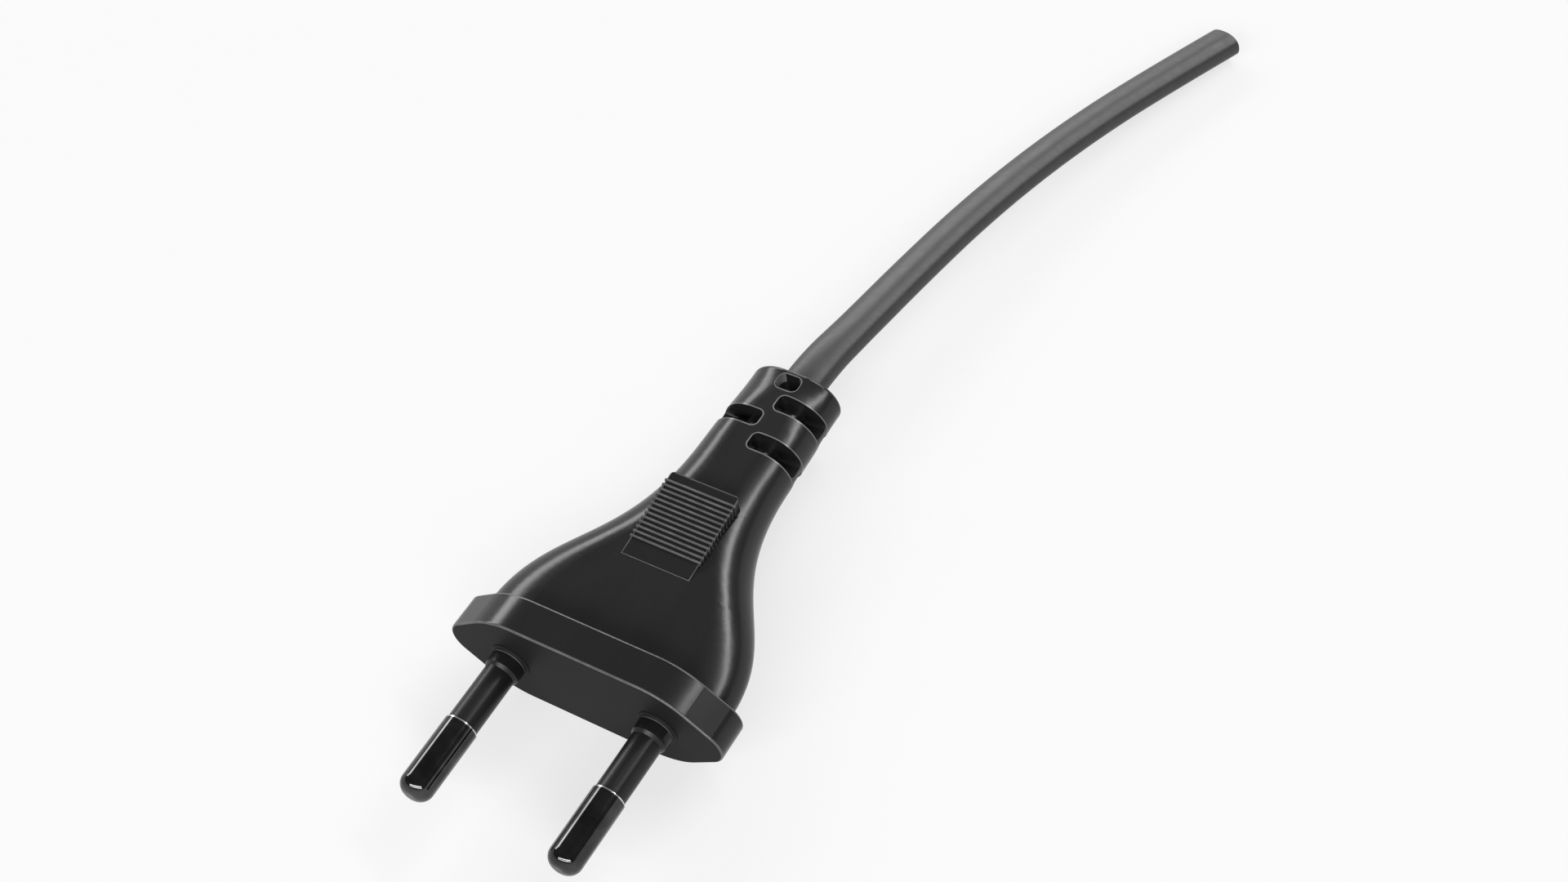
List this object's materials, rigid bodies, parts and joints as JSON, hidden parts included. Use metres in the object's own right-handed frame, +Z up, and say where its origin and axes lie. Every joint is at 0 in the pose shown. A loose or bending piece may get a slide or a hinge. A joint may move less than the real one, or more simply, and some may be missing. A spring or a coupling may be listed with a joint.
{
  "type": "two-pin mains plug",
  "caption": "Flat moulded two-pin mains plug with insulated pin sleeves, ribbed grip pads, a slotted strain relief and a flat cord that ends in a bare cut.",
  "frame": {"origin": "middle of the engagement face, between the two pins", "axes": "+X from the left pin to the right pin, +Y from the pins to the cord, +Z up with the plug on its broad side"},
  "size_m": [0.0397, 0.1504, 0.013],
  "materials": {
    "body_black": "satin, moulded",
    "sleeve_black": "satin",
    "bridge_plastic": "plain",
    "pin_metal": "nickel plated, bright",
    "cord_black": "soft satin",
    "core_blue": "satin",
    "core_brown": "satin",
    "copper": "drawn copper"
  },
  "bodies": {
    "root": {"plug_body": "body_black", "pin_left": "pin_metal", "pin_right": "pin_metal", "pin_sleeve_left": "sleeve_black", "pin_sleeve_right": "sleeve_black", "pin_bridge": "bridge_plastic", "cord": "cord_black", "cord_tail": "cord_black", "core_left": "core_blue", "core_right": "core_brown", "conductor_left": "copper", "conductor_right": "copper"}
  },
  "joints": []
}
